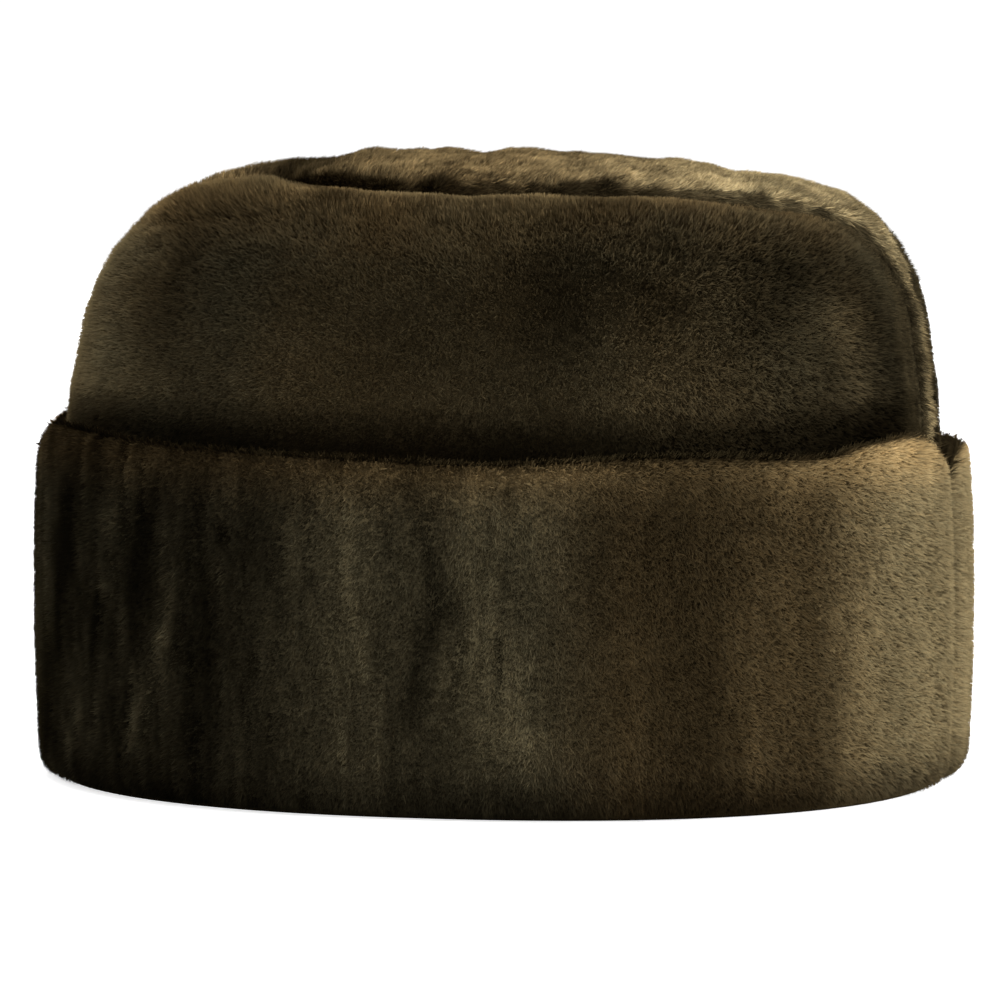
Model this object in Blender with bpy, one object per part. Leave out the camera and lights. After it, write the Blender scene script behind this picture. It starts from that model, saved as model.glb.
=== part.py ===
"""Fur hat with a turned-up cuff: two crown sides, a middle strip over the top, and a cuff in two halves.

The hat stands on its rim as it does on a shelf. X runs along the head's length, Y across it, Z up.
The origin is under the middle of the hat, on the surface that it stands on. Metres throughout.
"""

import bmesh
import bpy
import numpy as np

MM = 0.001

# Crown: the fur's outer surface
HAT_HEIGHT = 174 * MM
CROWN_LENGTH = 247 * MM
CROWN_WIDTH = 202 * MM
CROWN_WALL = 14 * MM
PLAN_POWER = 2.25

# Middle strip, from one end of the hat over the top to the other
STRIP_WIDTH = 80 * MM

# Seams: the gap between two pelts and the pile that rolls down into it
SEAM_GAP = 0.4 * MM
CROWN_SEAM_DEPTH = 4.5 * MM
CROWN_SEAM_ROLL = 7 * MM

# Cuff: one thick fold of fur, which turns under the crown's lower edge
CUFF_HEIGHT = 99.5 * MM
CUFF_END_THICKNESS = 6.8 * MM
CUFF_SIDE_THICKNESS = 10.2 * MM
CUFF_SIDE_STAND_OFF = 4.4 * MM
CUFF_BELLY = 1.5 * MM
CUFF_LIP_STRETCH = 1.9
CUFF_FOLD_HEIGHT = 8.2 * MM
CUFF_CORNER_RADIUS = 7 * MM
CUFF_SEAM_DEPTH = 3.0 * MM
CUFF_SEAM_ROLL = 9 * MM
CUFF_RIGHT_SEAM_TURN = -4.0
CUFF_LEFT_SEAM_TURN = -165.0
CUFF_NOTCH_DEPTH = 9 * MM
CUFF_NOTCH_REACH = 26 * MM
CUFF_RIM_WAVE = 3.2 * MM
SEAT_CLEARANCE = 0.3 * MM

# Unevenness of the crown: slow waves, the strip's gathers, and hollows pressed into it
CROWN_WAVE_HEIGHT = 0.32 * MM
GATHER_HEIGHT = 0.7 * MM
DENT_DEPTH = 2.6 * MM

# Corners closer than this are merged into one
MERGE_DISTANCE = 0.02 * MM

# Crown sections from the lower edge to the top, as shares of crown height, half length and half width
CROWN_SECTIONS = (
    # height, left length, right length, width
    (0.000, 0.975, 0.975, 0.970),
    (0.250, 0.990, 0.990, 0.988),
    (0.420, 1.000, 1.000, 1.000),
    (0.588, 0.994, 0.996, 0.970),
    (0.666, 0.976, 0.981, 0.938),
    (0.742, 0.957, 0.967, 0.898),
    (0.793, 0.932, 0.948, 0.862),
    (0.844, 0.898, 0.916, 0.812),
    (0.896, 0.842, 0.868, 0.735),
    (0.921, 0.790, 0.824, 0.672),
    (0.947, 0.712, 0.732, 0.560),
    (0.972, 0.580, 0.555, 0.400),
    (0.993, 0.330, 0.290, 0.200),
    (1.000, 0.000, 0.000, 0.000),
)

# Strip widths up each end of the arch, as shares of the quarter turn and of the strip's half width
STRIP_TAPER = (
    # turn, left end, right end
    (0.000, 0.105, 0.090),
    (0.500, 0.095, 0.085),
    (0.560, 0.095, 0.095),
    (0.600, 0.110, 0.230),
    (0.640, 0.125, 0.420),
    (0.690, 0.160, 0.580),
    (0.750, 0.270, 0.740),
    (0.800, 0.500, 0.830),
    (0.860, 0.780, 0.910),
    (0.930, 0.940, 0.970),
    (1.000, 1.000, 1.000),
    (1.140, 0.860, 0.910),
)

# Slow waves over the crown: whole waves in its length, width and height, their start and share of height
CROWN_WAVES = (
    # along X, across Y, up Z, start, share
    (1.62, 0.00, 0.68, 0.27, 0.84),
    (1.62, 0.00, -0.68, 0.14, 0.84),
    (1.38, 1.26, 0.00, 0.33, 1.00),
)

# Gathers of the strip: whole waves in the crown's length and the strip's width, their start and share
STRIP_GATHERS = (
    # along X, across Y, start, share
    (10.7, 0.80, 0.00, 1.00),
    (6.3, -0.64, 0.16, 1.00),
)

# Hollows pressed into the crown, and swells, whose share of the depth is negative. A hollow's place is in
# shares of the half length, half width and height, and its reach is a share of the height
CROWN_DENTS = (
    # along X, across Y, up Z, reach, share
    (-0.62, -0.75, 0.72, 0.126, 0.62),
    (0.30, -0.85, 0.80, 0.172, -0.46),
    (-0.52, -0.12, 0.98, 0.052, 1.00),
    (0.55, 0.75, 0.72, 0.149, 0.69),
    (-0.20, 0.85, 0.75, 0.172, -0.54),
)

# Rim of the cuff: its rise over the cuff's height, as a share of the rim's wave, by turn from the right end
CUFF_RIM = (
    # turn in degrees, near half, far half
    (0, 0.00, -1.20),
    (14, 0.81, -1.85),
    (31, 0.69, -1.90),
    (39, -0.12, -1.56),
    (55, 0.44, -0.78),
    (67, 0.56, -0.31),
    (82, -0.06, 0.12),
    (97, 0.19, 0.00),
    (120, 0.50, 0.38),
    (140, 0.94, 0.16),
    (158, 1.00, 0.25),
    (180, 0.00, 0.00),
    (200, 0.00, 0.00),
)

# Mesh steps along the crown's arch, over a side, across half the strip, round half the cuff and over a roll
ARCH_STEPS = 50
PANEL_RINGS = 9
RING_CROWDING = 1.4
STRIP_COLUMNS = 2
CUFF_STEPS = 33
SEAM_RINGS = (0.0, 0.12, 0.35, 0.65, 1.0)

CROWN_BASE = CUFF_FOLD_HEIGHT + SEAT_CLEARANCE
CROWN_HEIGHT = HAT_HEIGHT - CROWN_BASE

# The crown's unevenness starts just over the cuff, the gathers at a sine of the arch's angle
RELIEF_START = 1.03 * CUFF_HEIGHT
RELIEF_FADE = 26 * MM
GATHER_START = 0.80
GATHER_FADE = 0.12

FUR_COLOUR = (0.045, 0.030, 0.017, 1.0)
CUFF_COLOUR = (0.060, 0.043, 0.024, 1.0)
FUR_ROUGHNESS = 0.85


def smooth_rows(rows, steps=14):
    """Catmull-Rom curve through the rows: each column passes through its values with a continuous slope."""
    table = np.array(rows, float)
    padded = np.vstack([2 * table[0] - table[1], table, 2 * table[-1] - table[-2]])
    before, start, end, after = padded[:-3], padded[1:-2], padded[2:-1], padded[3:]
    t = np.linspace(0, 1, steps, endpoint=False)[None, :, None]
    curve = 0.5 * (
        2 * start[:, None]
        + (end - before)[:, None] * t
        + (2 * before - 5 * start + 4 * end - after)[:, None] * t**2
        + (3 * start - before - 3 * end + after)[:, None] * t**3
    )
    return np.vstack([curve.reshape(-1, table.shape[1]), table[-1]])


def inward(half_size, height, inset):
    """A profile of half size over height, moved inwards by inset along its own normals."""
    run, rise = np.gradient(half_size), np.gradient(height)
    length = np.hypot(run, rise)
    return half_size - inset * rise / length, height + inset * run / length


def crown_profile(inset):
    """Heights, with the crown's left and right half lengths and half widths, inset under its surface."""
    rows = smooth_rows(CROWN_SECTIONS)
    height = CROWN_BASE + rows[:, 0] * CROWN_HEIGHT
    heights = CROWN_BASE + (CROWN_HEIGHT - inset) * np.sin(np.linspace(0, np.pi / 2, 400))
    columns = []
    for shares, size in zip(rows[:, 1:].T, (CROWN_LENGTH, CROWN_LENGTH, CROWN_WIDTH)):
        half_size, at_height = inward(shares * size / 2, height, inset)
        columns.append(np.interp(heights, at_height, np.maximum(half_size, 0)))
        columns[-1][-1] = 0
    return heights, columns


OUTER = crown_profile(0)
INNER = crown_profile(CROWN_WALL)


def half_sizes(profile, z, x):
    """Half length on x's side and half width of the crown's oval at height z, never quite zero."""
    heights, columns = profile
    left, right, width = (np.where(z > heights[-1], 0, np.interp(z, heights, column)) for column in columns)
    return np.maximum(np.where(x < 0, left, right), 1e-7), np.maximum(width, 1e-7)


def arch_radius(profile, angle, y):
    """Distance from the middle of the crown's base, in the plane at y, to the surface at that angle.

    A point is inside where (x / half length) ** power + (y / half width) ** power is under one."""
    near, far = np.zeros_like(angle), np.full_like(angle, CROWN_LENGTH + CROWN_HEIGHT)
    for _ in range(48):
        middle = (near + far) / 2
        x = middle * np.cos(angle)
        length, width = half_sizes(profile, CROWN_BASE + middle * np.sin(angle), x)
        share = (np.abs(x) / length) ** PLAN_POWER + (np.abs(y) / width) ** PLAN_POWER
        near = np.where(share < 1, middle, near)
        far = np.where(share < 1, far, middle)
    return (near + far) / 2


def strip_half_width(angle):
    """Half width of the middle strip at an angle round the arch: 0 at the right end, pi at the left."""
    turn, left, right = smooth_rows(STRIP_TAPER).T
    turned = 1 - np.abs(angle / (np.pi / 2) - 1)
    share = np.where(angle > np.pi / 2, np.interp(turned, turn, left), np.interp(turned, turn, right))
    return share * STRIP_WIDTH / 2


def even_angles(steps):
    """Angles round the arch whose points lie the same distance apart along the seam."""
    dense = np.linspace(0, np.pi, 1200)
    radius = arch_radius(OUTER, dense, strip_half_width(dense))
    run = np.hypot(np.diff(radius * np.cos(dense)), np.diff(radius * np.sin(dense)))
    travelled = np.concatenate([[0], np.cumsum(run)])
    return np.interp(np.linspace(0, travelled[-1], steps + 1), travelled, dense)


def roll_down(distance, roll):
    """Share of a seam's depth at a distance from it: a quarter circle from 1 to 0 over the roll."""
    left = np.clip(1 - distance / roll, 0, 1)
    return 1 - np.sqrt(1 - left**2)


def gathers(points, angle):
    """Height of the strip's gathers: a sum of sines that fades down both ends of the hat."""
    along, across = points[..., 0] / CROWN_LENGTH, points[..., 1] / STRIP_WIDTH
    height = 0
    for waves_along, waves_across, start, share in STRIP_GATHERS:
        height = height + share * np.sin(2 * np.pi * (waves_along * along + waves_across * across + start))
    return GATHER_HEIGHT * height * np.clip((np.sin(angle) - GATHER_START) / GATHER_FADE, 0, 1)


def relief(points):
    """Height of the crown's unevenness: its waves less the hollows' bell curves, from the cuff upwards."""
    shares = points / (CROWN_LENGTH, CROWN_WIDTH, HAT_HEIGHT)
    height = 0
    for along, across, up, start, share in CROWN_WAVES:
        wave = np.sin(2 * np.pi * (shares @ (along, across, up) + start))
        height = height + share * CROWN_WAVE_HEIGHT * wave
    for along, across, up, reach, share in CROWN_DENTS:
        middle = np.array((along * CROWN_LENGTH / 2, across * CROWN_WIDTH / 2, up * HAT_HEIGHT))
        away = np.linalg.norm(points - middle, axis=-1) / (reach * HAT_HEIGHT)
        height = height - share * DENT_DEPTH * np.exp(-(away**2))
    return height * np.clip((points[..., 2] - RELIEF_START) / RELIEF_FADE, 0, 1)


def worked(outer, inner, seam_distance, ripple=0):
    """The outer surface with its seam roll, ripples and hollows, each along the wall's thickness."""
    through = inner - outer
    thickness = np.linalg.norm(through, axis=-1)
    depth = CROWN_SEAM_DEPTH * roll_down(seam_distance, CROWN_SEAM_ROLL) - relief(outer) - ripple
    return outer + through * (depth / thickness)[..., None]


def side_surface(profile, angle, shares, edge):
    """One surface of a crown side, at +Y, and the radius of its edge.

    It is the arch along y = edge shrunk by the shares to the middle of the base, and each point's y follows
    from the oval at its height."""
    radius = arch_radius(profile, angle, edge)
    x = np.outer(shares, radius * np.cos(angle))
    z = CROWN_BASE + np.outer(shares, radius * np.sin(angle))
    length, width = half_sizes(profile, z, x)
    y = width * np.clip(1 - (np.abs(x) / length) ** PLAN_POWER, 0, 1) ** (1 / PLAN_POWER)
    y[-1] = edge
    return np.stack([x, y, z], axis=-1), radius


def strip_surface(profile, angle, columns, half_width):
    """One surface of the strip: each column is a slice of the crown at that share of its half width."""
    y = np.outer(columns, half_width)
    turned = np.broadcast_to(angle, y.shape)
    radius = arch_radius(profile, turned, y)
    return np.stack([radius * np.cos(turned), y, CROWN_BASE + radius * np.sin(turned)], axis=-1)


def grid_faces(index):
    """Quads between neighbouring rows and columns of a grid of vertex numbers."""
    corners = index[:-1, :-1], index[:-1, 1:], index[1:, 1:], index[1:, :-1]
    return [tuple(face) for face in np.stack(corners, axis=-1).reshape(-1, 4).tolist()]


def add_solid(name, vertices, faces, colour):
    """A closed mesh object with merged corners, faces pointing out, smooth shading and its own material."""
    mesh = bpy.data.meshes.new(name)
    mesh.from_pydata([tuple(point) for point in vertices], [], faces)
    shape = bmesh.new()
    shape.from_mesh(mesh)
    bmesh.ops.remove_doubles(shape, verts=shape.verts, dist=MERGE_DISTANCE)
    bmesh.ops.recalc_face_normals(shape, faces=shape.faces)
    shape.to_mesh(mesh)
    shape.free()
    mesh.shade_smooth()
    mesh.set_sharp_from_angle(angle=np.radians(50))
    solid = bpy.data.objects.new(name, mesh)
    bpy.context.collection.objects.link(solid)
    fur = bpy.data.materials.new(name + "_fur")
    fur.use_nodes = True
    surface = fur.node_tree.nodes["Principled BSDF"]
    surface.inputs["Base Color"].default_value = colour
    surface.inputs["Roughness"].default_value = FUR_ROUGHNESS
    surface.inputs["Metallic"].default_value = 0.0
    mesh.materials.append(fur)
    return solid


def add_wall(name, outer, inner, colour):
    """A wall between two grids of points of the same shape, closed along all four borders."""
    rows, columns, _ = outer.shape
    count = rows * columns
    index = np.arange(count).reshape(rows, columns)
    faces = grid_faces(index) + grid_faces(index + count)
    for border in (index[0], index[-1], index[:, 0], index[:, -1]):
        faces += grid_faces(np.stack([border, border + count]))
    return add_solid(name, np.concatenate([outer.reshape(-1, 3), inner.reshape(-1, 3)]), faces, colour)


def with_roll(shares, roll_share):
    """Shares from the middle of a pelt to its seam at 1: the given ones, then the seam's roll."""
    roll = 1 - roll_share * (1 - np.array(SEAM_RINGS[1:]))
    return np.concatenate([shares * (1 - roll_share), roll])


def crown_side(name, side):
    """A D-shaped side of the crown. side is -1 for the side at -Y and 1 for the other."""
    angle = even_angles(ARCH_STEPS)
    edge = strip_half_width(angle) + SEAM_GAP / 2
    rings = 1 - np.linspace(1, 0, PANEL_RINGS + 1) ** RING_CROWDING
    shares = with_roll(rings, CROWN_SEAM_ROLL / (CROWN_LENGTH / 2))
    outer, radius = side_surface(OUTER, angle, shares, edge)
    inner, _ = side_surface(INNER, angle, shares, edge)
    outer, inner = outer * (1, side, 1), inner * (1, side, 1)
    outer = worked(outer, inner, np.outer(1 - shares, radius))
    return add_wall(name, outer, inner, FUR_COLOUR)


def crown_strip(name):
    """The strip over the top, with a seam roll along both of its long edges."""
    angle = even_angles(ARCH_STEPS)
    half_width = strip_half_width(angle) - SEAM_GAP / 2
    half = with_roll(np.linspace(0, 1, STRIP_COLUMNS + 1), CROWN_SEAM_ROLL / (STRIP_WIDTH / 2))
    shares = np.concatenate([-half[:0:-1], half])
    outer = strip_surface(OUTER, angle, shares, half_width)
    inner = strip_surface(INNER, angle, shares, half_width)
    outer = worked(outer, inner, np.outer(1 - np.abs(shares), half_width), gathers(outer, angle))
    return add_wall(name, outer, inner, FUR_COLOUR)


def cuff_path(side):
    """Points on the crown's widest oval along one half of the cuff, from its right seam to its left seam.

    side is -1 for the near half and 1 for the far half. Returns the points, their outward normals, their
    distance from the nearer seam and their turn from the right end in degrees."""
    right, left = CUFF_RIGHT_SEAM_TURN, CUFF_LEFT_SEAM_TURN
    turn = np.linspace(right, left if side < 0 else left + 360, 1500)
    cosine, sine = np.cos(np.radians(turn)), np.sin(np.radians(turn))
    x = CROWN_LENGTH / 2 * np.sign(cosine) * np.abs(cosine) ** (2 / PLAN_POWER)
    y = CROWN_WIDTH / 2 * np.sign(sine) * np.abs(sine) ** (2 / PLAN_POWER)
    travelled = np.concatenate([[0], np.cumsum(np.hypot(np.diff(x), np.diff(y)))])
    first, last = SEAM_GAP / 2, travelled[-1] - SEAM_GAP / 2
    ends = CUFF_NOTCH_REACH * np.array(SEAM_RINGS)
    middle = np.linspace(first + ends[-1], last - ends[-1], CUFF_STEPS + 1)
    travel = np.concatenate([first + ends[:-1], middle, last - ends[-2::-1]])
    x, y, turn = (np.interp(travel, travelled, values) for values in (x, y, turn))
    slope_x = np.sign(x) * (np.abs(x) / (CROWN_LENGTH / 2)) ** (PLAN_POWER - 1) / CROWN_LENGTH
    slope_y = np.sign(y) * (np.abs(y) / (CROWN_WIDTH / 2)) ** (PLAN_POWER - 1) / CROWN_WIDTH
    normal = np.stack([slope_x, slope_y], axis=-1) / np.hypot(slope_x, slope_y)[:, None]
    return np.stack([x, y], axis=-1), normal, np.minimum(travel - first, last - travel), turn


def cuff_section(sideways, seam_distance, rise):
    """Outline of the cuff where it is cut across: offset from the crown's widest oval, and height.

    sideways is 0 at the hat's ends and 1 at the middle of its long sides; rise lifts the rim there."""
    thickness = CUFF_END_THICKNESS + (CUFF_SIDE_THICKNESS - CUFF_END_THICKNESS) * sideways
    thickness = thickness - CUFF_SEAM_DEPTH * roll_down(seam_distance, CUFF_SEAM_ROLL)
    notch = CUFF_NOTCH_DEPTH * np.cos(np.pi / 2 * min(seam_distance / CUFF_NOTCH_REACH, 1)) ** 2
    top = CUFF_HEIGHT + rise - notch
    stand_off = CUFF_SIDE_STAND_OFF * sideways
    lip = thickness / 2
    lip_height = CUFF_LIP_STRETCH * lip
    fold = CUFF_FOLD_HEIGHT / 2
    reach = CROWN_WALL + (1 - CROWN_SECTIONS[0][1]) * CROWN_LENGTH / 2

    def inner_face(z):
        rise = np.clip((z - 0.45 * CUFF_HEIGHT) / (0.55 * CUFF_HEIGHT), 0, 1)
        return SEAT_CLEARANCE + stand_off * rise**1.5

    def outer_face(z):
        return inner_face(z) + thickness + CUFF_BELLY * np.sin(np.pi * np.clip(z / top, 0, 1))

    outline = []
    for turn in np.radians((-90, -135, 180, 135, 90)):
        outline.append((-reach + fold + fold * np.cos(turn), fold + fold * np.sin(turn)))
    outline.append((SEAT_CLEARANCE, CUFF_FOLD_HEIGHT))
    lip_base = top - lip_height
    for share in (0.42, 0.62, 0.82):
        outline.append((inner_face(share * lip_base), share * lip_base))
    for turn in np.radians((180, 150, 120, 90, 60, 30, 0)):
        across = inner_face(lip_base) + lip + lip * np.cos(turn)
        outline.append((across, lip_base + lip_height * np.sin(turn)))
    for share in (0.82, 0.62, 0.42, 0.22):
        outline.append((outer_face(share * lip_base), share * lip_base))
    corner = CUFF_CORNER_RADIUS
    for turn in np.radians((0, -30, -60, -90)):
        across = outer_face(corner) - corner + corner * np.cos(turn)
        outline.append((across, corner + corner * np.sin(turn)))
    return np.array(outline)


def cuff_half(name, side):
    """Half of the cuff: its section carried round the oval, closed by flat faces at the two end seams."""
    path, normal, seam_distance, turn = cuff_path(side)
    sideways = (np.abs(path[:, 1]) / (CROWN_WIDTH / 2)) ** 1.5
    rim = smooth_rows(CUFF_RIM)
    rise = CUFF_RIM_WAVE * np.interp(np.abs(turn), rim[:, 0], rim[:, 1 if side < 0 else 2])
    rings = []
    for point, outward, *values in zip(path, normal, sideways, seam_distance, rise):
        offset, height = cuff_section(*values).T
        rings.append(np.column_stack([point + offset[:, None] * outward, height]))
    index = np.arange(len(rings) * len(rings[0])).reshape(len(rings), -1)
    faces = grid_faces(np.column_stack([index, index[:, 0]]))
    faces += [tuple(index[0].tolist()), tuple(index[-1].tolist())]
    return add_solid(name, np.concatenate(rings), faces, CUFF_COLOUR)


for old in list(bpy.data.objects):
    bpy.data.objects.remove(old)

crown_side("crown_side_near", -1)
crown_side("crown_side_far", 1)
crown_strip("crown_strip")
cuff_half("cuff_near", -1)
cuff_half("cuff_far", 1)
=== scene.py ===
"""Fur hat with a turned-up cuff, standing on a pale studio floor.

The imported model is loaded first. Each of its pieces is then dressed as a pelt with its own pile: the cuff,
the crown's sides and the strip over the top. The floor, the lights and the camera come last.
"""

import bmesh
import bpy
import numpy as np
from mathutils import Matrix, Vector


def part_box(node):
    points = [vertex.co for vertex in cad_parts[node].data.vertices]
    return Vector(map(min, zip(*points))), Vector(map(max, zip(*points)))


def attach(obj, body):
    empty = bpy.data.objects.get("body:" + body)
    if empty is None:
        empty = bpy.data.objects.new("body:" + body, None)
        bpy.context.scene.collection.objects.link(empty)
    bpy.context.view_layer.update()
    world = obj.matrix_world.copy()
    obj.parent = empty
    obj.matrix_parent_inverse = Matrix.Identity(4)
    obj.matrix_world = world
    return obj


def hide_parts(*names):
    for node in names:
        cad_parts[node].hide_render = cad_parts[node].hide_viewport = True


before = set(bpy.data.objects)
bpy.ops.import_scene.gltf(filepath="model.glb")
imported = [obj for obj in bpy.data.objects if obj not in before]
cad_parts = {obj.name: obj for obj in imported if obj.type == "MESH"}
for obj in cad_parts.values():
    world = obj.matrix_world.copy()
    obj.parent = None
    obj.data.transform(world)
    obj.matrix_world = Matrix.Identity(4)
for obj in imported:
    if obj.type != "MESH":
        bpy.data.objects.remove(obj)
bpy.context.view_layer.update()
MM = 0.001

# Cuff
# Two halves of a tall fold of sheared fur, turned up round the crown and sewn to each other at the hat's
# ends. Each is a pelt whose hide lies inside the fold. Its dense pile covers its outer face and its lip.
CUFF_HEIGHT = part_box("cuff_near")[1][2]
CUFF_PILE = 2.3 * MM
CUFF_FUR_INSIDE = 24 * MM

# Hairs of a piece, a hair's width at its root, its length at least and at most, and the spacing of tufts
HAIRS = 190000
HAIR_WIDTH = 0.46 * MM
SHORTEST_HAIR, LONGEST_HAIR = 0.9 * MM, 6 * MM
SMALL_TUFT, LARGE_TUFT = 1.8 * MM, 6 * MM

# Steps of hue that a hair's map can hold
HUE_STEPS = 32

# Tone of the cuff's pile along the hat, paler to the right in part as painted light from the right
CUFF_TONES = (
    # x, tone
    (-130, 0.28),
    (-100, 0.32),
    (-60, 0.31),
    (-20, 0.51),
    (30, 0.49),
    (90, 0.48),
    (105, 0.65),
    (120, 0.73),
    (132, 0.74),
)

# Soft streaks in the near half's pile, painted sheen and shade where it lies this way or that
CUFF_STREAKS = (
    # x and z at the top, x and z at the bottom, half width, tone
    (-105, 92, -117, 12, 5.0, -0.26),
    (-78, 88, -84, 58, 5.0, -0.24),
    (-96, 56, -99, 20, 1.8, -0.26),
    (-69, 64, -76, 46, 2.5, 0.14),
    (-76, 46, -86, 16, 3.5, 0.18),
    (-91, 80, -94, 60, 3.0, 0.14),
    (-103, 40, -106, 12, 2.0, 0.12),
    (-86, 30, -90, 8, 2.0, -0.14),
    (-66, 40, -68, 14, 2.5, -0.10),
    (-60, 70, -54, 20, 12.0, -0.05),
    (-33, 80, -36, 30, 3.0, 0.05),
    (-20, 84, -18, 20, 8.0, 0.08),
    (-3, 92, 6, 60, 3.5, -0.15),
    (6, 60, -3, 32, 3.5, -0.15),
    (18, 84, 18, 20, 8.0, 0.10),
    (25, 50, 30, 18, 9.0, 0.10),
    (23, 52, 23.5, 38, 0.8, -0.26),
    (66, 84, 70, 10, 9.0, -0.05),
    (87, 78, 88, 12, 1.8, 0.07),
    (103, 88, 103, 8, 5.0, -0.12),
    (-56, 79, -56, 76, 2.4, -0.22),
    (-56, 83, -56, 82, 2.0, 0.12),
)


def merged_copy(node):
    """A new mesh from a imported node's loose triangles, with the corners that meet merged."""
    shape = bmesh.new()
    shape.from_mesh(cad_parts[node].data)
    bmesh.ops.remove_doubles(shape, verts=shape.verts, dist=0.01 * MM)
    mesh = bpy.data.meshes.new(node + "_pelt")
    shape.to_mesh(mesh)
    shape.free()
    return mesh


def mesh_arrays(mesh):
    """The corner places, an n x 3 array, and each triangle's three corner numbers."""
    places = np.empty(len(mesh.vertices) * 3)
    mesh.vertices.foreach_get("co", places)
    corners = np.empty(len(mesh.loops), np.int64)
    mesh.loops.foreach_get("vertex_index", corners)
    return places.reshape(-1, 3), corners.reshape(-1, 3)


def unit(vectors):
    """Each vector divided by its length."""
    return vectors / np.maximum(np.linalg.norm(vectors, axis=-1, keepdims=True), 1e-12)


def face_facts(places, corners):
    """Middle, outward normal and area of each triangle, from the cross product of two of its edges."""
    a, b, c = places[corners[:, 0]], places[corners[:, 1]], places[corners[:, 2]]
    cross = np.cross(b - a, c - a)
    return (a + b + c) / 3, unit(cross), np.linalg.norm(cross, axis=1) / 2


def corner_normals(places, corners, furry):
    """The furry faces' normals at each corner, weighted by area, and their share of the area round it."""
    _, normal, area = face_facts(places, corners)
    total, fur_area, out = np.zeros(len(places)), np.zeros(len(places)), np.zeros((len(places), 3))
    for column in corners.T:
        np.add.at(total, column, area)
        np.add.at(fur_area, column, area * furry)
        np.add.at(out, column, normal * (area * furry)[:, None])
    return unit(out), fur_area / total


def lattice_hash(cell, salt):
    """A number from 0 to 1 for each whole-numbered cell: the fraction of a steep sine of its place."""
    mixed = np.sin(cell @ (127.1, 311.7, 74.7) + salt * 19.19) * 43758.5453
    return mixed - np.floor(mixed)


def drift(points, reach, salt):
    """Smooth noise from -1 to 1: the hashes of the eight cells round a point, blended by a smooth step."""
    place = points / reach
    low = np.floor(place)
    step = place - low
    step = step * step * (3 - 2 * step)
    value = 0
    for corner in np.ndindex(2, 2, 2):
        share = np.prod(np.where(corner, step, 1 - step), axis=-1)
        value = value + share * lattice_hash(low + corner, salt)
    return 2 * value - 1


def tufts(points, reach, salt):
    """Nearest of the points strewn one to a lattice cell, and a number from 0 to 1 of its own."""
    low = np.floor(points / reach)
    best, middle, number = np.full(len(points), np.inf), np.zeros_like(points), np.zeros(len(points))
    for offset in np.ndindex(3, 3, 3):
        cell = low + offset - 1
        shift = np.stack([lattice_hash(cell, salt + axis) for axis in (1, 2, 3)], axis=-1)
        centre = (cell + shift) * reach
        away = np.sum((points - centre) ** 2, axis=-1)
        nearer = away < best
        best = np.where(nearer, away, best)
        middle = np.where(nearer[:, None], centre, middle)
        number = np.where(nearer, lattice_hash(cell, salt + 4), number)
    return middle, number


def pelt(node, furry_faces, pile_depth, tone, hue):
    """The node's solid with its furry faces let in by the pile's depth, so that the pile's tips end on it.

    Its faces wear underfur where they are furry or meet a furry one, and bare hide elsewhere."""
    mesh = merged_copy(node)
    places, corners = mesh_arrays(mesh)
    middle, normal, _ = face_facts(places, corners)
    furry = furry_faces(middle, normal)
    out, share = corner_normals(places, corners, furry)
    depth = pile_depth(places, out) * share
    sunk = places - out * depth[:, None]
    mesh.vertices.foreach_set("co", sunk.ravel())
    for name, values in (("tone", tone(places, out)), ("hue", hue(places))):
        mesh.attributes.new(name, "FLOAT", "POINT").data.foreach_set("value", values)
    mesh.polygons.foreach_set("material_index", (share[corners] > 0).any(axis=1).astype(np.int32))
    mesh.update()
    mesh.shade_smooth()
    mesh.set_sharp_from_angle(angle=np.radians(55))
    piece = bpy.data.objects.new(node + "_pelt", mesh)
    bpy.context.collection.objects.link(piece)
    return piece, (sunk, corners, furry, out, depth)


def strewn_roots(surface, count, seed):
    """Points spread evenly over the furry faces: a face drawn by its area, then a point in it at random.

    Returns the points, the normals there and the depth of the pile over them."""
    places, corners, furry, out, depth = surface
    _, _, area = face_facts(places, corners)
    weight = np.cumsum(area * furry)
    chance = np.random.default_rng(seed)
    face = corners[np.searchsorted(weight, chance.random(count) * weight[-1])]
    first, second = np.sqrt(chance.random(count)), chance.random(count)
    shares = np.stack([1 - first, first * (1 - second), first * second], axis=-1)[..., None]
    normal = unit((out[face] * shares).sum(axis=1))
    return (places[face] * shares).sum(axis=1), normal, (depth[face] * shares[..., 0]).sum(axis=1)


def combed(way, normal):
    """The comb's way laid flat on the surface: less its part along the normal, at unit length."""
    return unit(way - normal * np.sum(way * normal, axis=-1, keepdims=True))


def pile_mesh(name, root, tip, across, normal, width, tone, hue):
    """One thin triangle for each hair, from two corners at the root to one at the tip.

    Its map holds the tone along U and, in the step of its hue, the place from root to tip along V."""
    count = len(root)
    half = across * (width / 2)[:, None]
    places = np.stack([root - half, root + half, tip], axis=1)
    mesh = bpy.data.meshes.new(name)
    mesh.vertices.add(3 * count)
    mesh.loops.add(3 * count)
    mesh.polygons.add(count)
    mesh.vertices.foreach_set("co", places.ravel())
    mesh.loops.foreach_set("vertex_index", np.arange(3 * count))
    mesh.polygons.foreach_set("loop_start", np.arange(0, 3 * count, 3))
    mesh.update(calc_edges=True)
    mesh.shade_smooth()
    mesh.normals_split_custom_set_from_vertices(np.repeat(normal, 3, axis=0))
    low = (np.clip(hue, 0, 0.999) * HUE_STEPS).astype(int)
    side = 0.003 + 0.994 * np.clip(tone, 0, 1)
    u = np.stack([side - 0.0015, side + 0.0015, side], axis=1)
    v = np.stack([low + 0.06, low + 0.06, low + 0.94], axis=1) / HUE_STEPS
    layer = mesh.uv_layers.new(name="OFBake")
    layer.uv.foreach_set("vector", np.stack([u, v], axis=-1).ravel())
    piece = bpy.data.objects.new(name, mesh)
    bpy.context.collection.objects.link(piece)
    return piece


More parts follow.
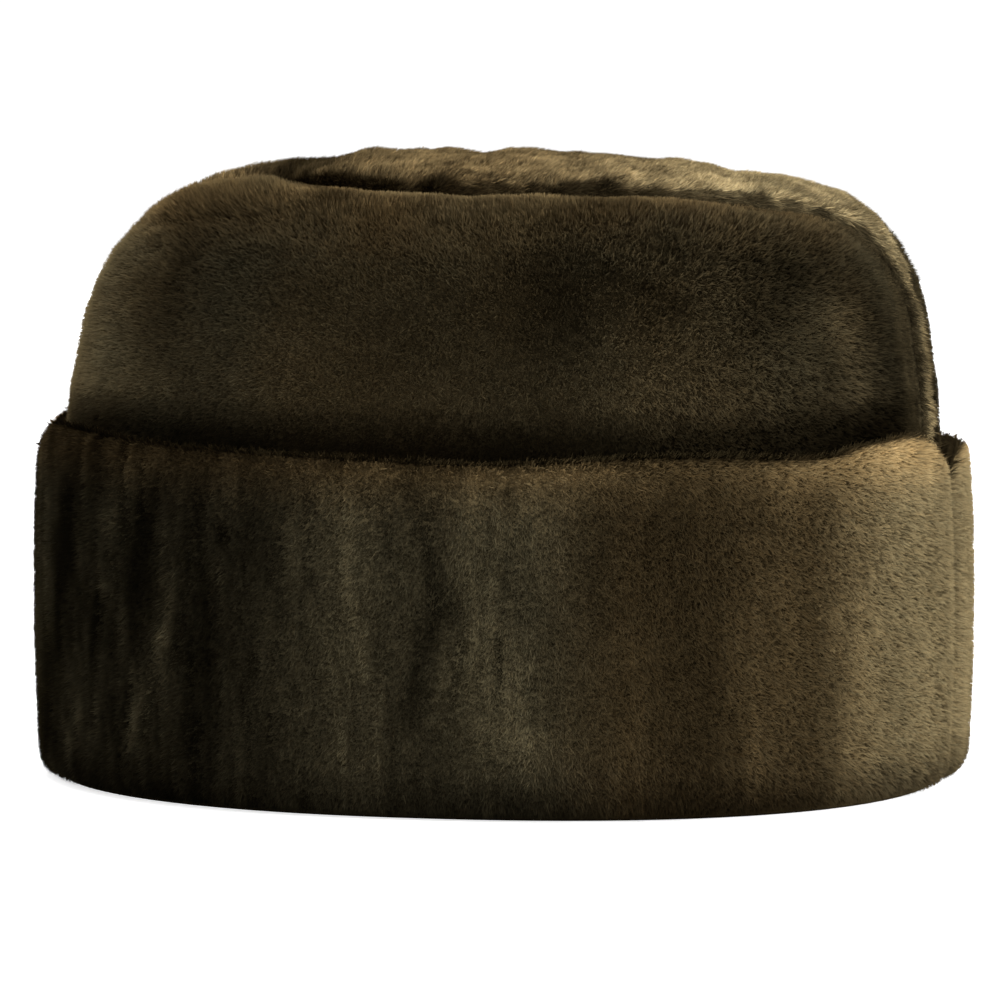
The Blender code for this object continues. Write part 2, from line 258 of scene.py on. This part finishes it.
def fur(name, surface, seed, comb, lean, tone, hue, grain, uneven, settle=None, clump=0.22):
    """Hairs over a pelt, combed one way, each leaning from the normal until its tip is a pile's depth up.

    The lengths differ by the uneven share in slow noise, and by less from tuft to tuft and at random. The
    tips draw together to their tuft's middle by the clump's share, and the tones of neighbours differ by
    the grain. settle changes the normals and gives a length to add."""
    root, normal, depth = strewn_roots(surface, HAIRS, seed)
    more = 0
    if settle:
        normal, more = settle(root, normal)
    chance = np.random.default_rng(seed + 1)
    flat = combed(comb(root, normal), normal)
    middle, number = tufts(root, SMALL_TUFT, seed)
    _, wide_number = tufts(root, LARGE_TUFT, seed + 9)
    angle = lean(root, normal) + 0.16 * (number - 0.5) + 0.12 * (wide_number - 0.5)
    angle = np.clip(angle + 0.10 * chance.normal(size=HAIRS), 0.05, 1.2)
    away = flat * np.sin(angle)[:, None] + normal * np.cos(angle)[:, None]
    away = unit(away + 0.16 * chance.normal(size=(HAIRS, 3)))
    rise = np.maximum(np.sum(away * normal, axis=-1), 0.3)
    high = 1.02 + 0.10 * (number - 0.5) + uneven * drift(root, 5 * MM, seed)
    high = high + 0.10 * chance.normal(size=HAIRS)
    length = np.clip(depth * high / rise, SHORTEST_HAIR, LONGEST_HAIR) + more
    tip = root + away * length[:, None]
    pull = middle - root
    pull = pull - normal * np.sum(pull * normal, axis=-1, keepdims=True)
    tip = tip + clump * pull
    tip[:, 2] = np.maximum(tip[:, 2], 0.3 * MM)
    sideways = unit(np.cross(away, normal))
    roll = chance.uniform(-1.2, 1.2, HAIRS)
    across = sideways * np.cos(roll)[:, None] + unit(np.cross(sideways, away)) * np.sin(roll)[:, None]
    width = HAIR_WIDTH * (0.75 + 0.5 * chance.random(HAIRS))
    blend = 0.8 * (number - 0.5) + 0.8 * (wide_number - 0.5) + chance.normal(size=HAIRS)
    tones = tone(root, normal) + grain(root) * (blend + drift(root, 3.5 * MM, seed + 2))
    hues = hue(root) + 0.08 * (number - 0.5) + 0.08 * chance.normal(size=HAIRS)
    sway = np.stack([drift(root, 4.5 * MM, seed + salt) for salt in (3, 4, 5)], axis=-1)
    facing = unit(normal + 0.30 * away + 0.15 * sway + 0.07 * chance.normal(size=(HAIRS, 3)))
    return pile_mesh(name, root, tip, across, facing, width, tones, hues)


def new_material(name):
    """A node material with its Principled shader."""
    material = bpy.data.materials.new(name)
    material.use_nodes = True
    return material, material.node_tree, material.node_tree.nodes["Principled BSDF"]


def math_node(tree, operation, first, second=None):
    """A Math node of that operation, whose inputs are sockets or numbers. Returns its output."""
    node = tree.nodes.new("ShaderNodeMath")
    node.operation = operation
    for socket, value in zip(node.inputs, (first, second)):
        if isinstance(value, bpy.types.NodeSocket):
            tree.links.new(value, socket)
        elif value is not None:
            socket.default_value = value
    return node.outputs[0]


def hair_colours():
    """Colour of a hair from its tone, its hue from 0, brown, to 1, olive, and the place along it.

    Two steep ramps by tone are mixed by the hue. The tip adds to the tone, in part a painted rim light, and
    the root is darkened as painted shade deep in the pile.
    A ramp's colour is its red, times a share of green and of blue."""
    group = bpy.data.node_groups.new("hair_colours", "ShaderNodeTree")
    for name in ("Tone", "Hue", "Along"):
        group.interface.new_socket(name, in_out="INPUT", socket_type="NodeSocketFloat")
    group.interface.new_socket("Color", in_out="OUTPUT", socket_type="NodeSocketColor")
    nodes, links = group.nodes, group.links
    taken, given = nodes.new("NodeGroupInput"), nodes.new("NodeGroupOutput")
    # Paler tips, in part painted rim light where tips stand at the outline
    tip = math_node(group, "MULTIPLY", math_node(group, "SUBTRACT", taken.outputs["Along"], 0.5), 0.17)
    toned = math_node(group, "ADD", taken.outputs["Tone"], math_node(group, "MAXIMUM", tip, 0.0))
    ramps = []
    for green, blue in ((0.64, 0.26), (0.86, 0.48)):
        ramp = nodes.new("ShaderNodeValToRGB").color_ramp
        steps = ((0.0, 0.004), (0.2, 0.010), (0.4, 0.026), (0.6, 0.068), (0.8, 0.18), (1.0, 0.46))
        ramp.elements[0].position, ramp.elements[1].position = steps[0][0], steps[-1][0]
        for place, _ in steps[1:-1]:
            ramp.elements.new(place)
        for element, (_, red) in zip(ramp.elements, steps):
            element.color = (red, red * green, red * blue, 1)
        ramps.append(nodes[-1])
        links.new(toned, nodes[-1].inputs["Fac"])
    hues = nodes.new("ShaderNodeMix")
    hues.data_type = "RGBA"
    links.new(taken.outputs["Hue"], hues.inputs["Factor"])
    links.new(ramps[0].outputs["Color"], hues.inputs["A"])
    links.new(ramps[1].outputs["Color"], hues.inputs["B"])
    # Darker roots: painted shade deep in the pile, scaling the colour from 0.62 at the root
    shade = nodes.new("ShaderNodeMapRange")
    shade.inputs["From Max"].default_value = 0.6
    shade.inputs["To Min"].default_value = 0.62
    links.new(taken.outputs["Along"], shade.inputs["Value"])
    dark = nodes.new("ShaderNodeVectorMath")
    dark.operation = "SCALE"
    links.new(hues.outputs["Result"], dark.inputs[0])
    links.new(shade.outputs["Result"], dark.inputs["Scale"])
    links.new(dark.outputs[0], given.inputs["Color"])
    return group


HAIR_COLOURS = hair_colours()


def soft_pile(surface, sheen):
    """Finish of the pile: matt, with a tan sheen where it is seen edge on."""
    surface.inputs["Roughness"].default_value = 0.7
    surface.inputs["Specular IOR Level"].default_value = 0.0
    surface.inputs["Sheen Weight"].default_value = sheen
    surface.inputs["Sheen Roughness"].default_value = 0.25
    surface.inputs["Sheen Tint"].default_value = (0.86, 0.64, 0.30, 1)


def outward_normal(tree):
    """The mesh's own normal on both sides of a hair: turned round again where its back is seen."""
    geometry = tree.nodes.new("ShaderNodeNewGeometry")
    turned = tree.nodes.new("ShaderNodeVectorMath")
    turned.operation = "SCALE"
    tree.links.new(geometry.outputs["Normal"], turned.inputs[0])
    back = math_node(tree, "MULTIPLY", geometry.outputs["Backfacing"], 2.0)
    tree.links.new(math_node(tree, "SUBTRACT", 1.0, back), turned.inputs["Scale"])
    return turned.outputs[0]


def fur_material(name, sheen):
    """Hairs coloured by their own map: tone along U, steps of hue and the place from the root along V."""
    material, tree, surface = new_material(name)
    place = tree.nodes.new("ShaderNodeUVMap")
    place.uv_map = "OFBake"
    parts = tree.nodes.new("ShaderNodeSeparateXYZ")
    tree.links.new(place.outputs["UV"], parts.inputs["Vector"])
    scaled = math_node(tree, "MULTIPLY", parts.outputs["Y"], HUE_STEPS)
    colours = tree.nodes.new("ShaderNodeGroup")
    colours.node_tree = HAIR_COLOURS
    tree.links.new(parts.outputs["X"], colours.inputs["Tone"])
    step = math_node(tree, "FLOOR", scaled)
    tree.links.new(math_node(tree, "DIVIDE", step, HUE_STEPS), colours.inputs["Hue"])
    tree.links.new(math_node(tree, "FRACT", scaled), colours.inputs["Along"])
    tree.links.new(colours.outputs["Color"], surface.inputs["Base Color"])
    tree.links.new(outward_normal(tree), surface.inputs["Normal"])
    material.cycles.use_bump_map_correction = False
    soft_pile(surface, sheen)
    return material


def underfur_material():
    """Down between the hairs: the pelt's own tone, speckled by fine noise, with a short rough nap."""
    material, tree, surface = new_material("underfur")
    tone, hue = tree.nodes.new("ShaderNodeAttribute"), tree.nodes.new("ShaderNodeAttribute")
    tone.attribute_name, hue.attribute_name = "tone", "hue"
    place, fleck = tree.nodes.new("ShaderNodeTexCoord"), tree.nodes.new("ShaderNodeTexNoise")
    fleck.inputs["Scale"].default_value = 2400
    fleck.inputs["Detail"].default_value = 3
    bump = tree.nodes.new("ShaderNodeBump")
    bump.inputs["Strength"].default_value = 0.8
    bump.inputs["Distance"].default_value = 0.4 * MM
    colours = tree.nodes.new("ShaderNodeGroup")
    colours.node_tree = HAIR_COLOURS
    tree.links.new(place.outputs["Object"], fleck.inputs["Vector"])
    spread = math_node(tree, "MULTIPLY", math_node(tree, "SUBTRACT", fleck.outputs["Fac"], 0.5), 0.4)
    tree.links.new(math_node(tree, "ADD", tone.outputs["Fac"], spread), colours.inputs["Tone"])
    tree.links.new(hue.outputs["Fac"], colours.inputs["Hue"])
    colours.inputs["Along"].default_value = 0.70
    tree.links.new(fleck.outputs["Fac"], bump.inputs["Height"])
    tree.links.new(colours.outputs["Color"], surface.inputs["Base Color"])
    tree.links.new(bump.outputs["Normal"], surface.inputs["Normal"])
    soft_pile(surface, 0.05)
    return material


def hide_material(name, colour):
    """Flesh side of a pelt: soft suede, mottled by noise, with a fine nap."""
    material, tree, surface = new_material(name)
    place = tree.nodes.new("ShaderNodeTexCoord")
    mottle = tree.nodes.new("ShaderNodeTexNoise")
    mottle.inputs["Scale"].default_value = 60
    mottle.inputs["Detail"].default_value = 6
    ramp = tree.nodes.new("ShaderNodeValToRGB")
    ramp.color_ramp.elements[0].position = 0.3
    ramp.color_ramp.elements[0].color = (*(0.65 * value for value in colour), 1)
    ramp.color_ramp.elements[1].position = 0.7
    ramp.color_ramp.elements[1].color = (*(1.35 * value for value in colour), 1)
    nap = tree.nodes.new("ShaderNodeTexNoise")
    nap.inputs["Scale"].default_value = 2600
    bump = tree.nodes.new("ShaderNodeBump")
    bump.inputs["Strength"].default_value = 0.35
    bump.inputs["Distance"].default_value = 0.25 * MM
    tree.links.new(place.outputs["Object"], mottle.inputs["Vector"])
    tree.links.new(place.outputs["Object"], nap.inputs["Vector"])
    tree.links.new(mottle.outputs["Fac"], ramp.inputs["Fac"])
    tree.links.new(nap.outputs["Fac"], bump.inputs["Height"])
    tree.links.new(ramp.outputs["Color"], surface.inputs["Base Color"])
    tree.links.new(bump.outputs["Normal"], surface.inputs["Normal"])
    surface.inputs["Roughness"].default_value = 0.9
    surface.inputs["Sheen Weight"].default_value = 0.15
    return material


HIDE = hide_material("hide", (0.075, 0.045, 0.025))
UNDERFUR = underfur_material()


def along_the_hat(points, *rows):
    """Value at each point's x, on straight lines between the rows. A row is an x in mm and its value."""
    x, value = np.array(rows).T
    return np.interp(points[:, 0], x * MM, value)


def round_the_cuff(points):
    """Places for noise in upright streaks: the turn round the hat at 110 mm, then a seventh of z."""
    turn = np.arctan2(points[:, 1], points[:, 0])
    return np.stack([turn * 110 * MM, points[:, 2] / 7, 0 * turn], axis=-1)


def charted(points, rows):
    """Sum of soft streaks on the near side: each a bell curve of the distance from its line.

    It fades past both ends of the line, and noise bends it, so that its edges look brushed."""
    total = 0
    bent = points[:, 0] + 2.2 * MM * drift(points * (1, 1, 0.35), 6 * MM, 61)
    for x_top, z_top, x_low, z_low, half_width, change in np.array(rows) * ((MM,) * 5 + (1,)):
        along = (z_top - points[:, 2]) / (z_top - z_low)
        middle = x_top + (x_low - x_top) * np.clip(along, 0, 1)
        past = np.maximum(np.abs(along - 0.5) - 0.5, 0) * (z_top - z_low)
        away = (bent - middle) ** 2 + past**2
        total = total + change * np.exp(-away / half_width**2)
    return total * (points[:, 1] < 0)


def outwards(points, normal):
    """How far a normal points away from the hat's middle: 1 on the cuff's outer face, -1 on its inner."""
    return np.sum(normal * unit(points * (1, 1.4, 0)), axis=-1)


def cuff_furry(middle, normal):
    """True on the cuff's outer face, over its lip and down the top of its inner face."""
    facing = outwards(middle, normal)
    outer = (facing > 0.2) & (normal[:, 2] > -0.85)
    lip = (normal[:, 2] > 0.2) & (middle[:, 2] > 0.6 * CUFF_HEIGHT)
    inner = (facing < -0.2) & (middle[:, 2] > CUFF_HEIGHT - CUFF_FUR_INSIDE)
    return outer | lip | inner


def cuff_depth(places, out):
    """Depth of the pile: full on the outer face, and less by up to 0.45 of it where it faces inwards."""
    return CUFF_PILE * (1 + 0.45 * np.minimum(outwards(places, out), 0))


def lip_share(points):
    """From 0 to 1 up the cuff's top 22 mm, in a smooth step."""
    share = np.clip((points[:, 2] - CUFF_HEIGHT + 22 * MM) / (17 * MM), 0, 1)
    return share * share * (3 - 2 * share)


def cuff_comb(points, normal):
    """The cuff is brushed down with slow swirls, and the top of its lip outwards."""
    away = unit(points * (1, 1.4, 0))
    round_the_hat = np.cross((0, 0, 1), away)
    swirl = 0.45 * drift(points, 22 * MM, 5) + 0.8 * lip_share(points)
    top = 2.5 * np.clip((normal[:, 2] - 0.3) / 0.5, 0, 1)
    return np.array((0, 0, -1.0)) + round_the_hat * swirl[:, None] + away * top[:, None]


def cuff_lean(points, normal):
    """Hairs stand 14 degrees off the normal, give or take 5 in slow noise, with up to 36 more on top."""
    top = np.clip((normal[:, 2] - 0.4) / 0.5, 0, 1)
    return np.radians(14 + 5 * drift(points, 16 * MM, 6) + 36 * top)


def cuff_tone(points, normal):
    """Tone from dark at the left end to pale at the right, in part painted light from the right, with noise
    in upright streaks.

    The left edge is paler as a painted rim light, and the lip and a speckled patch of it are paler. The
    lip's crest, its inner side and the cuff's lower edge are darker as painted shade, and the charted
    streaks fade on the lip."""
    # Paler to the right, in part as painted light from the right
    base = along_the_hat(points, *CUFF_TONES)
    # Painted rim light: the pile is paler at the far left end, along the hat's outline
    painted_rim_light = np.clip((-124 * MM - points[:, 0]) / (4 * MM), 0, 1)
    place = round_the_cuff(points)
    fine = drift(place, 1.6 * MM, 3) + drift(place, 3.6 * MM, 4)
    fine = fine * along_the_hat(points, (-110, 3.0), (-20, 1.8), (30, 1.4), (60, 0.8), (110, 0.5))
    broad = drift(place, 14 * MM, 8)
    lip = lip_share(points)
    lock = drift(points * (1, 1, 0.5), 4 * MM, 9)
    speckled = np.clip(1 - np.abs(points[:, 0] - 35 * MM) / (27 * MM), 0, 1) ** 0.4
    paler = along_the_hat(points, (-40, 0.15), (0, 0.10)) + 0.05 * lock + 0.14 * speckled
    # Painted shade on the lip's crest and on the cuff's inner side, which faces the crown
    shaded = np.clip((normal[:, 2] - 0.5) / 0.4, 0, 1) + np.clip(-outwards(points, normal) / 0.4, 0, 1)
    darker = along_the_hat(points, (20, 0.24), (60, 0.40))
    # Painted shade towards the floor, over the cuff's lowest 14 mm
    low = np.clip(1 - points[:, 2] / (14 * MM), 0, 1)
    tone = base + 0.42 * painted_rim_light + 0.042 * (fine + broad) + paler * lip - darker * shaded - 0.24 * low
    return tone + charted(points, CUFF_STREAKS) * (1 - 0.7 * lip)


def cuff_hue(points):
    """Greyer brown on most of the cuff, warmer in its right part, and at most 0.2 on its lip."""
    hue = along_the_hat(points, (30, 0.85), (55, 0.25), (100, 0.25), (120, 0.60))
    return hue + (np.minimum(hue, 0.2) - hue) * lip_share(points)


def cuff_grain(points):
    """Rough at the left and in the middle, and smooth at the right end."""
    return along_the_hat(points, (-100, 0.034), (30, 0.040), (60, 0.020), (110, 0.012))


def over_the_seams(points, normal):
    """The pile closes over the cuff's two upright seams, whose rolls show as a slant along the cuff.

    It grows by the slant's fourth power and leans over the seam. On top of the lip it is a little shorter,
    and slow noise makes it uneven."""
    round_the_hat = np.cross((0, 0, 1), unit(points * (1, 1.4, 0)))
    slant = np.sum(normal * round_the_hat, axis=-1)
    ripple = 0.9 * drift(points, 8 * MM, 7) * np.clip((normal[:, 2] - 0.5) / 0.3, 0, 1)
    top = np.clip((normal[:, 2] - 0.6) / 0.3, 0, 1)
    more = 3.6 * np.clip(np.abs(slant) / 0.8, 0, 1) ** 4 + ripple - 0.7 * top
    return unit(normal - 0.8 * slant[:, None] * round_the_hat), more * MM


CUFF_FUR = fur_material("cuff_fur", 0.03)
for node, seed in (("cuff_near", 11), ("cuff_far", 12)):
    cuff_pelt, cuff_surface = pelt(node, cuff_furry, cuff_depth, cuff_tone, cuff_hue)
    cuff_pelt.data.materials.append(HIDE)
    cuff_pelt.data.materials.append(UNDERFUR)
    cuff_fur = fur(
        node + "_fur", cuff_surface, seed, cuff_comb, cuff_lean, cuff_tone, cuff_hue, cuff_grain,
        uneven=0.12, settle=over_the_seams)
    cuff_fur.data.materials.append(CUFF_FUR)
    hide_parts(node)
    for piece in (cuff_pelt, cuff_fur):
        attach(piece, "root")

# Crown sides
# Two D-shaped pelts that stand up from the hat's lower edge and bend in over the top. They are sewn to the
# strip between them, and their pile rolls down into the seams.
CROWN_PILE = 2.3 * MM
CROWN_FUR_FROM = 74 * MM
CROWN_MIDDLE = (0, 0, 60 * MM)

# Tone of the sides' pile along the hat, pale at the left end as a painted rim light
SIDE_TONES = (
    # x, tone
    (-120, 0.74),
    (-95, 0.59),
    (-70, 0.48),
    (-30, 0.47),
    (60, 0.47),
    (95, 0.37),
    (120, 0.10),
)

# Soft streaks and blotches of the near side's pile
SIDE_STREAKS = (
    # x and z at the top, x and z at the bottom, half width, tone
    (-76, 150, -82, 128, 7.0, -0.10),
    (30, 148, 34, 132, 9.0, -0.12),
    (45, 146, 62, 140, 7.0, -0.10),
    (60, 152, 92, 148, 6.0, -0.12),
    (90, 146, 86, 132, 6.0, -0.10),
    (104, 134, 108, 112, 5.0, 0.18),
    (-40, 125, -40, 110, 22.0, 0.05),
    (70, 122, 70, 110, 20.0, 0.05),
)


def crown_furry(middle, normal):
    """True where a face of the crown looks outwards, above where the cuff hides it."""
    facing = np.sum(normal * unit(middle - CROWN_MIDDLE), axis=-1)
    return (facing > 0.15) & (middle[:, 2] > CROWN_FUR_FROM)


def crown_depth(places, out):
    """The pile's depth, which falls to nothing where the cuff covers the crown."""
    return CROWN_PILE * np.clip((places[:, 2] - CROWN_FUR_FROM) / (8 * MM), 0, 1)


def left_end(points):
    """From 0 to 1 where the seam's groove runs down the hat's left end."""
    return np.clip((-50 * MM - points[:, 0]) / (10 * MM), 0, 1)


def open_groove(points):
    """From 0 at the hat's left end, where the pile hides the seam's groove, to 1 where it shows."""
    return np.clip((points[:, 0] + 60 * MM) / (35 * MM), 0, 1)


def over_the_groove(points, normal):
    """At the left end the near side's pile closes over the groove, and slow noise makes top edges uneven.

    It is longer on the crest, and longer still by the cube of how far it faces the groove."""
    share = left_end(points) * (points[:, 1] < 0) * (points[:, 2] > CUFF_HEIGHT)
    crest = np.clip((normal[:, 2] - 0.80) / 0.15, 0, 1)
    inward = np.clip(normal[:, 1] / 0.8, 0, 1)
    across = 1 - 0.85 * (share * np.clip(inward / 0.3, 0, 1))[:, None] * (0, 1, 0)
    ripple = 0.9 * drift(points, 9 * MM, 23) * np.clip((normal[:, 2] - 0.6) / 0.3, 0, 1)
    return unit(normal * across), ((3.2 * crest + 5.0 * inward**3) * share + ripple) * MM


def side_comb(points, normal):
    """The sides are brushed down from the seam, a little askew."""
    round_the_hat = unit(np.cross((0, 0, 1), normal * (1, 1, 0) + (0, 1e-6, 1e-6)))
    return np.array((0, 0, -1.0)) + round_the_hat * (0.35 * drift(points, 26 * MM, 21))[:, None]


def side_lean(points, normal):
    """Hairs stand 15 degrees off the normal, give or take 5 in slow noise."""
    return np.radians(15 + 5 * drift(points, 18 * MM, 22))


def side_tone(points, normal):
    """Dark on the face, paler at the left end as a painted rim light, and along the seam's edge as a painted
    highlight where it turns up to the light, darkest at the right end.

    It is darker at the cuff, in the groove, and in a hollow of the crest near its left end, all painted
    shade."""
    base = along_the_hat(points, *SIDE_TONES)
    blotch = drift(points, 24 * MM, 31) + 0.6 * drift(points, 10 * MM, 32)
    # Painted highlight where the side turns up towards the light over the top
    edge = np.clip((normal[:, 2] - 0.60) / 0.35, 0, 1)
    # Painted shade just above the cuff, where the crown meets it
    painted_cuff_shade = np.clip((CUFF_HEIGHT + 9 * MM - points[:, 2]) / (8 * MM), 0, 1)
    # Painted shade in the seam's groove, where the side rolls into it
    inward = np.clip((-np.sign(points[:, 1]) * normal[:, 1] - 0.2) / 0.4, 0, 1) * open_groove(points)
    low = np.clip((140 * MM - points[:, 2]) / (25 * MM), 0, 1)
    # Painted shade in a hollow of the crest near the left end
    hollow = np.exp(-(((points[:, 0] + 59 * MM) / (6 * MM)) ** 2))
    hollow = hollow * np.clip((points[:, 2] - 162 * MM) / (3 * MM), 0, 1)
    tone = base + 0.035 * blotch + 0.06 * edge + 0.06 * low
    return tone - 0.26 * painted_cuff_shade - 0.25 * inward - 0.28 * hollow + charted(points, SIDE_STREAKS)


def side_hue(points):
    """Brown, greyer here and there, and warmer where it bends over the top."""
    top = np.clip((points[:, 2] - 148 * MM) / (14 * MM), 0, 1)
    return 0.62 + 0.25 * drift(points, 20 * MM, 33) - 0.50 * top


def side_grain(points):
    """The same everywhere."""
    return np.full(len(points), 0.032)


CROWN_FUR = fur_material("crown_fur", 0.10)
for node, seed in (("crown_side_near", 13), ("crown_side_far", 14)):
    side_pelt, side_surface = pelt(node, crown_furry, crown_depth, side_tone, side_hue)
    side_pelt.data.materials.append(HIDE)
    side_pelt.data.materials.append(UNDERFUR)
    side_fur = fur(
        node + "_fur", side_surface, seed, side_comb, side_lean, side_tone, side_hue, side_grain,
        uneven=0.14, settle=over_the_groove)
    side_fur.data.materials.append(CROWN_FUR)
    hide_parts(node)
    for piece in (side_pelt, side_fur):
        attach(piece, "root")

# Crown strip
# One long pelt that runs up from one end of the hat, over the top and down to the other. Its pile stands
# higher than the sides' and parts into fluffy bumps.

# Tone of the strip's pile along the hat, with a dip near -62 mm for painted shade in a hollow
STRIP_TONES = (
    # x, tone
    (-120, 0.72),
    (-75, 0.62),
    (-62, 0.44),
    (-45, 0.60),
    (20, 0.63),
    (60, 0.75),
    (120, 0.68),
)


def strip_comb(points, normal):
    """The strip is brushed from the left end of the hat to the right, parting a little."""
    return np.stack([
        np.full(len(points), 1.0),
        0.6 * drift(points, 12 * MM, 41),
        0.2 * drift(points, 14 * MM, 42) + 0.5 * (np.abs(points[:, 0]) > 90 * MM) * -np.sign(points[:, 0]),
    ], axis=-1)


def strip_lean(points, normal):
    """Hairs stand 36 degrees off the normal, give or take 18 in noise, so that they lean in tufts."""
    return np.radians(36 + 18 * drift(points, 7 * MM, 43))


def strip_tone(points, normal):
    """Pale tan, mottled in noise painted as shade in hollows between the bumps, and dark along its seams and
    in a band at the left, painted shade in the seams' grooves and in a hollow.
    """
    base = along_the_hat(points, *STRIP_TONES)
    # Painted shade of hollows between the bumps, and lighter where they rise, in noise
    hollow = drift(points, 11 * MM, 51) + 0.6 * drift(points, 26 * MM, 52)
    hollow = hollow + 0.9 * drift(points, 3.5 * MM, 53)
    # Painted shade in the seams' grooves, along the strip's sides
    outward = np.sign(points[:, 1]) * normal[:, 1] - 0.60 + 0.22 * drift(points, 4 * MM, 54)
    outward = np.clip(outward / 0.25, 0, 1) * open_groove(points)
    # Painted shade in a hollow where the strip dips at the left end
    dark = np.exp(-(((points[:, 0] + 58 * MM) / (6 * MM)) ** 2))
    return base + 0.08 * hollow - 0.30 * outward - 0.28 * dark


def strip_hue(points):
    """Warm tan, greyer at the right."""
    return 0.25 + 0.35 * np.clip(points[:, 0] / (70 * MM), 0, 1)


def strip_grain(points):
    """Rougher than the sides, and the same everywhere."""
    return np.full(len(points), 0.085)


STRIP_FUR = fur_material("strip_fur", 0.12)
strip_pelt, strip_surface = pelt("crown_strip", crown_furry, crown_depth, strip_tone, strip_hue)
strip_pelt.data.materials.append(HIDE)
strip_pelt.data.materials.append(UNDERFUR)
strip_fur = fur(
    "crown_strip_fur", strip_surface, 15, strip_comb, strip_lean, strip_tone, strip_hue, strip_grain,
    uneven=0.30, clump=0.35)
strip_fur.data.materials.append(STRIP_FUR)
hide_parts("crown_strip")
for piece in (strip_pelt, strip_fur):
    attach(piece, "root")

# Floor
# A wide sheet of matt white paper that the hat stands on. It glows for the camera alone, so that it fades
# into the white behind it.
FLOOR_REACH = 1.6
floor_mesh = bpy.data.meshes.new("floor")
floor_mesh.from_pydata(
    [(-FLOOR_REACH, -FLOOR_REACH, 0), (FLOOR_REACH, -FLOOR_REACH, 0), (FLOOR_REACH, FLOOR_REACH, 0),
     (-FLOOR_REACH, FLOOR_REACH, 0)], [], [(0, 1, 2, 3)])
floor = bpy.data.objects.new("floor", floor_mesh)
bpy.context.collection.objects.link(floor)
floor_white, floor_tree, floor_surface = new_material("floor_white")
floor_surface.inputs["Base Color"].default_value = (0.93, 0.93, 0.935, 1)
floor_surface.inputs["Roughness"].default_value = 0.9
floor_surface.inputs["Emission Color"].default_value = (1, 1, 1, 1)
floor_sight = floor_tree.nodes.new("ShaderNodeLightPath")
glow = math_node(floor_tree, "MULTIPLY", floor_sight.outputs["Is Camera Ray"], 0.7)
floor_tree.links.new(glow, floor_surface.inputs["Emission Strength"])
floor_mesh.materials.append(floor_white)

# Lights
# A white tent all round that lights the hat softly, a broad light from the right and one above and behind.
# The camera sees the tent brighter than it shines on the hat, as a white background.
world = bpy.data.worlds.new("tent")
world.use_nodes = True
tent = world.node_tree.nodes["Background"]
tent.inputs["Color"].default_value = (1.0, 1.0, 1.0, 1)
sight = world.node_tree.nodes.new("ShaderNodeLightPath")
extra = math_node(world.node_tree, "MULTIPLY", sight.outputs["Is Camera Ray"], 0.4)
bright = math_node(world.node_tree, "ADD", extra, 0.7)
world.node_tree.links.new(bright, tent.inputs["Strength"])
bpy.context.scene.world = world


def soft_light(name, place, aim, size, power):
    """A square area light at a place, facing its aim."""
    light = bpy.data.lights.new(name, "AREA")
    light.size = size
    light.energy = power
    lamp = bpy.data.objects.new(name, light)
    lamp.location = place
    lamp.rotation_euler = (Vector(aim) - Vector(place)).to_track_quat("-Z", "Y").to_euler()
    bpy.context.collection.objects.link(lamp)


soft_light("right_light", (1.6, -0.25, 0.7), (0, 0, 0.08), 0.9, 40)
soft_light("top_light", (0.1, 0.7, 2.4), (0, 0, 0.1), 2.2, 120)

bpy.context.scene.view_settings.view_transform = "Standard"
bpy.context.scene.view_settings.look = "None"

# Camera
# A long lens in front of the near side, moved round towards the hat's right end and a little above it. It
# aims just to the left of the hat's middle.
AZIMUTH, ELEVATION, DISTANCE = np.radians(12), np.radians(6.2), 2.8
AIM_LEFT, AIM_HEIGHT = 1 * MM, 75.9 * MM
VIEW_WIDTH = 281 * MM
target = Vector((-AIM_LEFT * np.cos(AZIMUTH), -AIM_LEFT * np.sin(AZIMUTH), AIM_HEIGHT))
direction = Vector((
    np.sin(AZIMUTH) * np.cos(ELEVATION),
    -np.cos(AZIMUTH) * np.cos(ELEVATION),
    np.sin(ELEVATION),
))
lens = bpy.data.cameras.new("camera")
lens.sensor_width = 36
lens.lens = lens.sensor_width * DISTANCE / VIEW_WIDTH
camera = bpy.data.objects.new("camera", lens)
camera.location = target + DISTANCE * direction
camera.rotation_euler = (-direction).to_track_quat("-Z", "Y").to_euler()
bpy.context.collection.objects.link(camera)
bpy.context.scene.camera = camera
